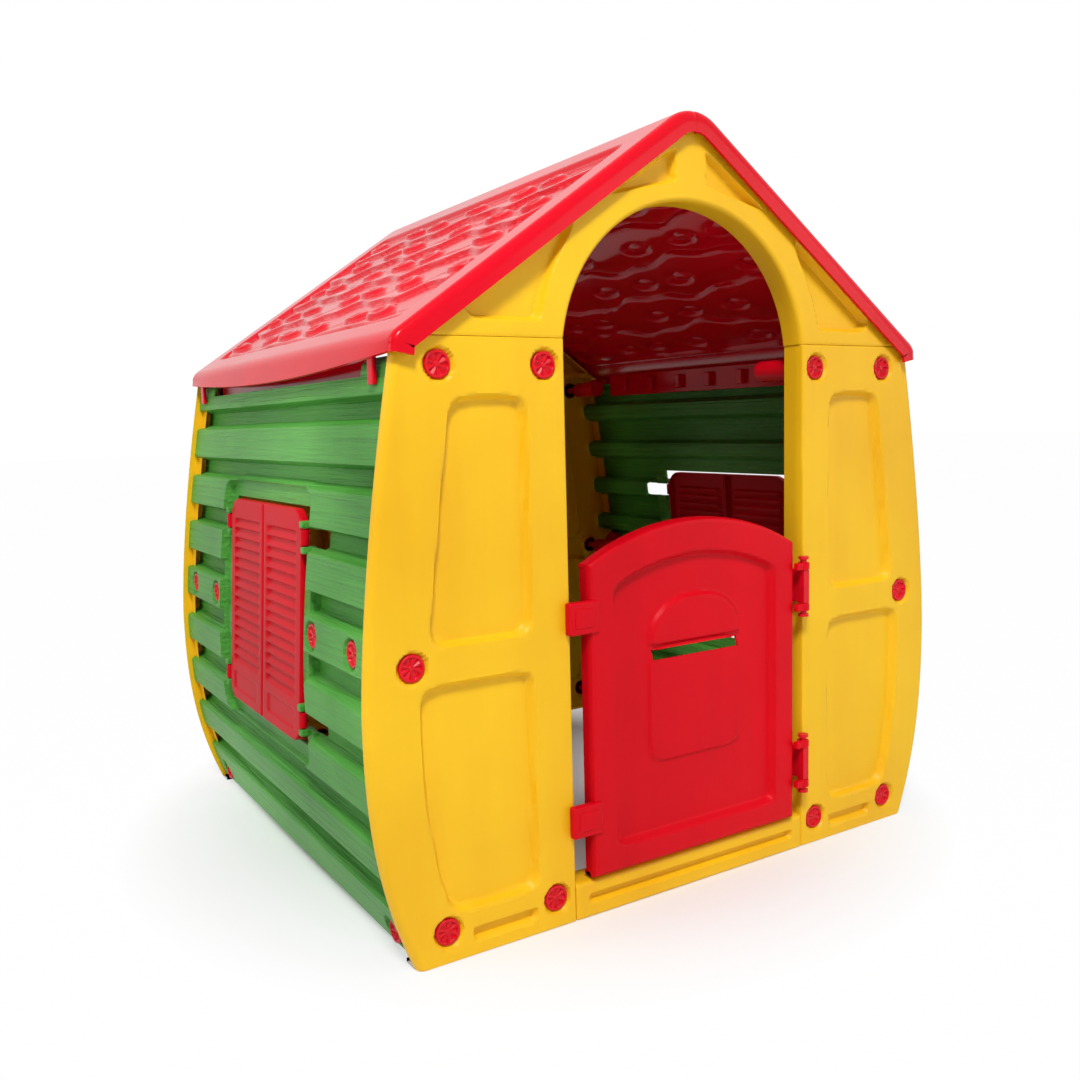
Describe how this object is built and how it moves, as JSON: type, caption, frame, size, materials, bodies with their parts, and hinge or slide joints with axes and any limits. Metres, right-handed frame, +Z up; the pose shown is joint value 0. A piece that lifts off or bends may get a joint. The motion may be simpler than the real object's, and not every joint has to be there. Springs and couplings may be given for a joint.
{
  "type": "plastic playhouse",
  "caption": "Walk-in moulded playhouse with an arched doorway, half door with letter slot, shuttered plank walls and pitched roof.",
  "frame": {"origin": "centre of the footprint on the floor", "axes": "+Z up, -Y towards the front with the door, +X to the right seen from the front"},
  "size_m": [1.0148, 0.94, 1.0909],
  "materials": {
    "yellow_shell": "satin blow-moulded polyethylene",
    "green_planks": "satin polyethylene with light wood grain",
    "red_roof": "glossy polyethylene",
    "red_door": "satin polyethylene",
    "red_shutters": "satin polyethylene",
    "red_fittings": "moulded nylon-like plastic"
  },
  "bodies": {
    "root": {"front_left_panel": "yellow_shell", "front_right_panel": "yellow_shell", "back_left_panel": "yellow_shell", "back_right_panel": "yellow_shell", "front_gable": "yellow_shell", "back_gable": "yellow_shell", "front_sill": "yellow_shell", "back_sill": "yellow_shell", "left_wall_upper": "green_planks", "left_wall_lower": "green_planks", "right_wall_upper": "green_planks", "right_wall_lower": "green_planks", "left_roof": "red_roof", "right_roof": "red_roof", "door_hinge_upper": "red_fittings", "door_hinge_lower": "red_fittings", "front_screws": "red_fittings", "back_screws": "red_fittings", "left_wall_screws": "red_fittings", "right_wall_screws": "red_fittings", "front_nuts": "red_fittings", "back_nuts": "red_fittings", "left_wall_nuts": "red_fittings", "right_wall_nuts": "red_fittings"},
    "door": {"door": "red_door"},
    "left_front_shutter": {"left_front_shutter": "red_shutters"},
    "left_back_shutter": {"left_back_shutter": "red_shutters"},
    "right_front_shutter": {"right_front_shutter": "red_shutters"},
    "right_back_shutter": {"right_back_shutter": "red_shutters"}
  },
  "joints": [
    {"name": "door_hinge", "type": "hinge", "parent": "root", "child": "door", "pos_m": [0.2035, -0.466, 0.2], "axis": [0, 0, 1], "range_deg": [0, 115]},
    {"name": "left_front_shutter_hinge", "type": "hinge", "parent": "root", "child": "left_front_shutter", "pos_m": [-0.4929, -0.184, 0.269], "axis": [0.0636, 0, 0.998], "range_deg": [0, 140]},
    {"name": "left_back_shutter_hinge", "type": "hinge", "parent": "root", "child": "left_back_shutter", "pos_m": [-0.4929, 0.184, 0.269], "axis": [-0.0636, 0, -0.998], "range_deg": [0, 140]},
    {"name": "right_front_shutter_hinge", "type": "hinge", "parent": "root", "child": "right_front_shutter", "pos_m": [0.4929, -0.184, 0.269], "axis": [0.0636, 0, -0.998], "range_deg": [0, 140]},
    {"name": "right_back_shutter_hinge", "type": "hinge", "parent": "root", "child": "right_back_shutter", "pos_m": [0.4929, 0.184, 0.269], "axis": [-0.0636, 0, 0.998], "range_deg": [0, 140]}
  ]
}
